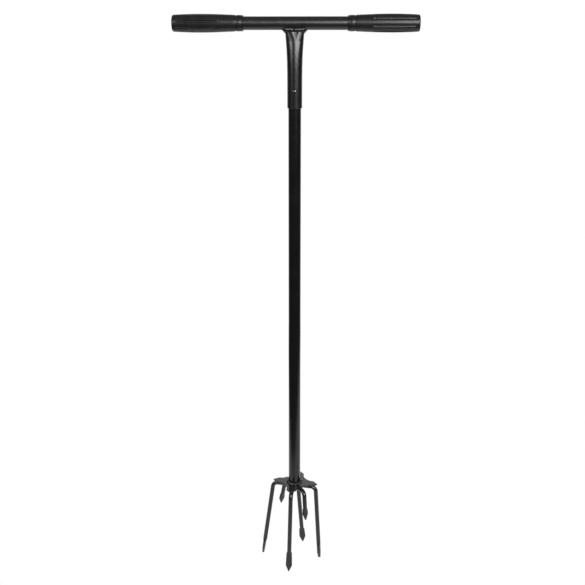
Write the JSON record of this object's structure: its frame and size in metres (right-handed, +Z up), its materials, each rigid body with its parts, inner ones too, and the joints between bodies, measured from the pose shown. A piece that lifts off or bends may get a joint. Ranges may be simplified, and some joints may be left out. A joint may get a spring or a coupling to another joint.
{
  "type": "lawn aerator fork",
  "caption": "T-handled lawn aerator that stands on long spear-pointed spikes under a cross-shaped plate, with a socketed handlebar held by a spring button.",
  "frame": {"origin": "on the ground under the shaft, on the shaft's axis, which the four long spikes stand around", "axes": "+Z up along the shaft, +X along the handlebar towards the right-hand grip, -Y towards the front, where the spring button is"},
  "size_m": [0.4132, 0.1118, 1.0232],
  "materials": {
    "black_powder_coat": "semi-gloss black powder coat",
    "painted_weld": "weld beads under the same black coat",
    "grip_plastic": "satin black moulded plastic",
    "blackened_button": "blackened steel, worn on its crown",
    "spring_steel": "spring steel strip"
  },
  "bodies": {
    "tool": {"handlebar_tube": "black_powder_coat", "left_grip": "grip_plastic", "right_grip": "grip_plastic", "handle_socket": "black_powder_coat", "socket_weld": "painted_weld", "shaft_tube": "black_powder_coat", "shaft_weld": "painted_weld", "snap_spring": "spring_steel", "head_plate": "black_powder_coat", "front_tine": "black_powder_coat", "right_tine": "black_powder_coat", "back_tine": "black_powder_coat", "left_tine": "black_powder_coat", "short_front_tine": "black_powder_coat", "short_back_tine": "black_powder_coat", "front_tine_weld_a": "painted_weld", "front_tine_weld_b": "painted_weld", "right_tine_weld_a": "painted_weld", "right_tine_weld_b": "painted_weld", "back_tine_weld_a": "painted_weld", "back_tine_weld_b": "painted_weld", "left_tine_weld_a": "painted_weld", "left_tine_weld_b": "painted_weld", "short_front_tine_weld_a": "painted_weld", "short_front_tine_weld_b": "painted_weld", "short_back_tine_weld_a": "painted_weld", "short_back_tine_weld_b": "painted_weld"},
    "button": {"snap_button": "blackened_button"}
  },
  "joints": [
    {"name": "button_press", "type": "slide", "parent": "tool", "child": "button", "axis": [0, 1, 0], "range_m": [0, 0.0045], "stiffness_N_per_m": 2000, "deforming": ["snap_spring"]}
  ]
}
